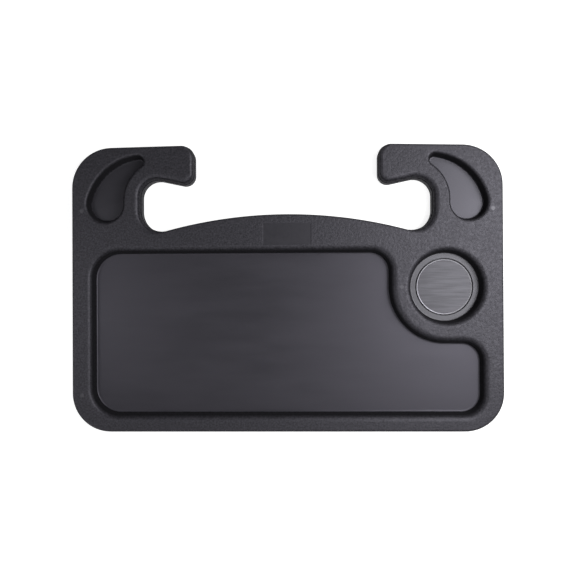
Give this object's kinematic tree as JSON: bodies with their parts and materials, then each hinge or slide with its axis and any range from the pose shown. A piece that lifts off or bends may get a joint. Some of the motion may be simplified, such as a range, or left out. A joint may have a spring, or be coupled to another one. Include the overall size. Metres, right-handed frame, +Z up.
{
  "type": "steering wheel tray",
  "caption": "Flat double-sided plastic tray with a food recess, a cup holder and small pockets on one side, and hooks that hang it on a steering wheel.",
  "frame": {"origin": "middle of the footprint, on the surface that the laptop side lies on", "axes": "+X to the right seen from the food side, +Y towards the wheel hooks, +Z up out of the food side"},
  "size_m": [0.42, 0.28, 0.022],
  "materials": {
    "grained_abs": "fine leather-like mould grain on the rim, smooth matt floors",
    "back_abs": "fine mould grain",
    "disc_plastic": "satin, faint straight brush marks",
    "foam_tape": "white double-sided foam tape",
    "zinc_screw": "bright zinc plate",
    "plug_abs": "smooth matt"
  },
  "bodies": {
    "root": {"front_shell": "grained_abs", "back_shell": "back_abs", "cup_disc": "disc_plastic", "disc_tape": "foam_tape", "screw_upper_left": "zinc_screw", "screw_upper_right": "zinc_screw", "screw_lower_left": "zinc_screw", "screw_lower_right": "zinc_screw", "screw_island": "zinc_screw", "plug_upper_left": "plug_abs", "plug_upper_right": "plug_abs", "plug_lower_left": "plug_abs", "plug_lower_right": "plug_abs", "plug_island": "plug_abs"}
  },
  "joints": []
}
